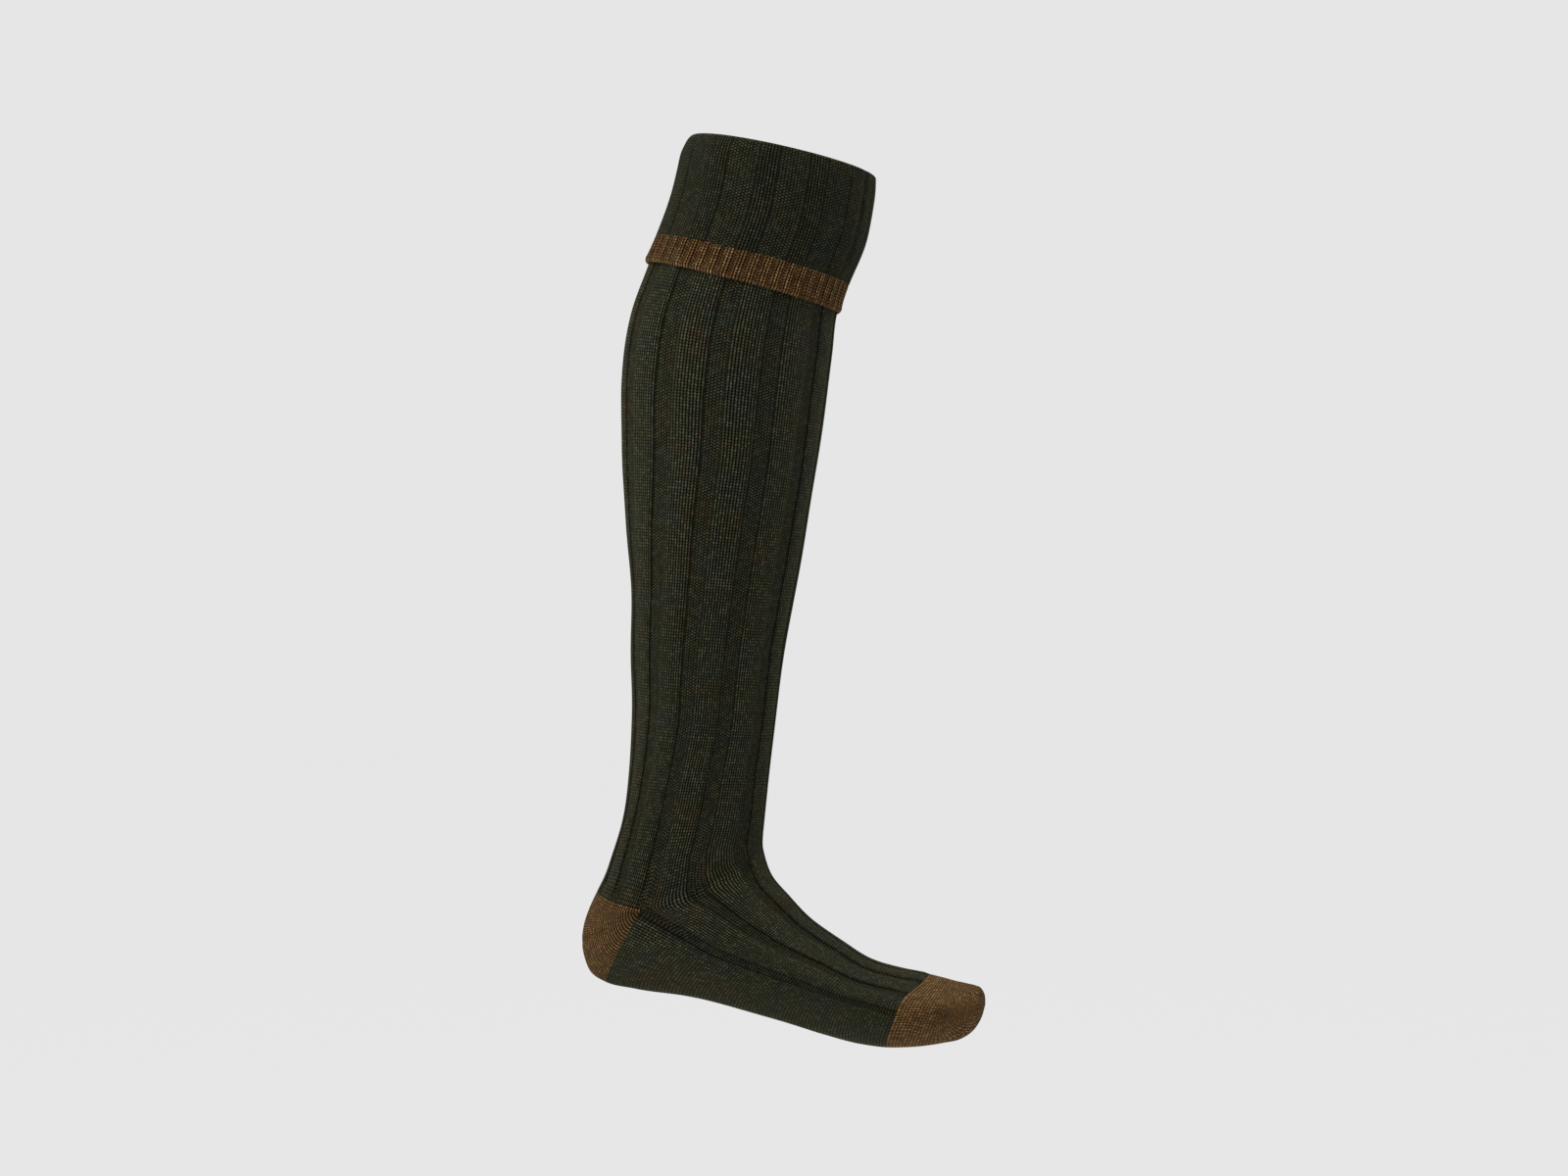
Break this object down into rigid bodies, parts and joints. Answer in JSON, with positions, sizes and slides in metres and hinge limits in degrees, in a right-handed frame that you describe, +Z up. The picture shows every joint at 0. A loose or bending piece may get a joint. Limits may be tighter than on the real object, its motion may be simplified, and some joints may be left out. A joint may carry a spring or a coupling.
{
  "type": "wool sock",
  "caption": "Knee-length ribbed wool sock with a turned-down cuff, a contrast trim band, heel and toe, open at the top and hollow to the toe.",
  "frame": {"origin": "centre of the leg opening, level with the fold of the cuff", "axes": "+Z up the leg, +X towards the toe, +Y to the side"},
  "size_m": [0.2402, 0.109, 0.5379],
  "materials": {
    "leg_wool": "matte marled rib knit",
    "cuff_wool": "matte marled rib knit, wrong side out",
    "trim_wool": "matte marled narrow rib knit",
    "heel_wool": "matte marled plain knit",
    "foot_wool": "matte marled rib and plain knit",
    "toe_wool": "matte marled plain knit"
  },
  "bodies": {
    "root": {"leg": "leg_wool", "turnover_cuff": "cuff_wool", "cuff_trim": "trim_wool", "heel": "heel_wool", "foot": "foot_wool", "toe": "toe_wool"}
  },
  "joints": []
}
